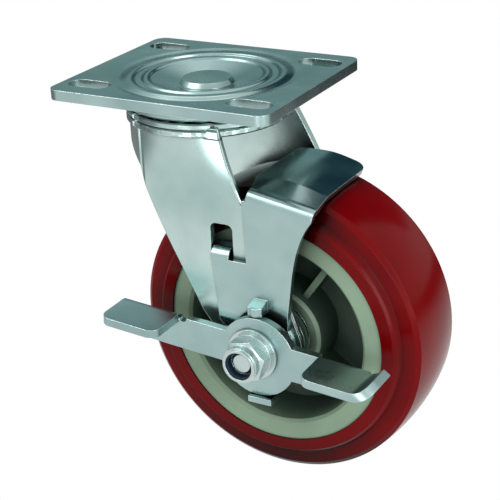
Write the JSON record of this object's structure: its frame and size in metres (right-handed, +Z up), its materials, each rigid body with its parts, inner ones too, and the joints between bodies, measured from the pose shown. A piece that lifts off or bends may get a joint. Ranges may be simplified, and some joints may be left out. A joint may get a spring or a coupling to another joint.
{
  "type": "swivel castor",
  "caption": "Swivel plate castor with a polyurethane tread on a plastic core, a ball-race head and a side cam brake with two foot pads.",
  "frame": {"origin": "on the swivel axis, in the plane of the mounting plate's top face", "axes": "+Z up along the swivel axis out of the mounting face, +X the way the wheel trails, -Y the brake's side, along the wheel's axle"},
  "size_m": [0.1771, 0.1168, 0.193],
  "materials": {
    "zinc_steel": "bright zinc plated pressed sheet, slightly wavy and glossy",
    "bright_steel": "zinc plated turned or forged fastener",
    "bearing_steel": "ground and polished bearing steel",
    "core_plastic": "moulded grey-green polypropylene, satin",
    "tread_polyurethane": "dark red cast polyurethane, smooth and glossy",
    "nylon": "dark blue nylon locking ring",
    "seal_rubber": "black moulded bearing seal"
  },
  "bodies": {
    "mounting": {"top_plate": "zinc_steel", "kingpin": "zinc_steel", "upper_race": "zinc_steel", "lower_race": "zinc_steel"},
    "swivel": {"fork": "zinc_steel", "upper_balls": "bearing_steel", "lower_balls": "bearing_steel", "axle_bolt": "bright_steel", "axle_sleeve": "bright_steel", "axle_nut": "bright_steel", "nut_insert": "nylon", "bearing_inner_near": "bearing_steel", "bearing_inner_far": "bearing_steel", "thread_guard_near": "zinc_steel", "thread_guard_far": "zinc_steel", "hub_spacer_near": "bright_steel", "hub_spacer_far": "bright_steel", "head_washer": "bright_steel", "pivot_bush": "bright_steel", "flat_washer": "bright_steel", "lock_washer": "bright_steel"},
    "wheel": {"wheel_core": "core_plastic", "tread": "tread_polyurethane", "bearing_outer_near": "bearing_steel", "bearing_outer_far": "bearing_steel", "bearing_balls_near": "bearing_steel", "bearing_balls_far": "bearing_steel", "bearing_seal_near": "seal_rubber", "bearing_seal_far": "seal_rubber"},
    "lever": {"brake_lever": "zinc_steel"},
    "shoe": {"brake_shoe": "zinc_steel"}
  },
  "joints": [
    {"name": "swivel_turn", "type": "hinge", "parent": "mounting", "child": "swivel", "pos_m": [0, 0, -0.0146], "axis": [0, 0, 1], "continuous": true},
    {"name": "wheel_roll", "type": "hinge", "parent": "swivel", "child": "wheel", "pos_m": [0.0446, 0, -0.118], "axis": [0, 1, 0], "continuous": true},
    {"name": "lever_tilt", "type": "hinge", "parent": "swivel", "child": "lever", "pos_m": [0.0446, -0.0434, -0.118], "axis": [0, -1, 0], "range_deg": [0, 40]},
    {"name": "shoe_lift", "type": "slide", "parent": "swivel", "child": "shoe", "axis": [0, 0, 1], "range_m": [0, 0.0016]}
  ],
  "couplings": [
    {"joint": "shoe_lift", "follows": "lever_tilt", "m_per_rad": 0.002239}
  ]
}
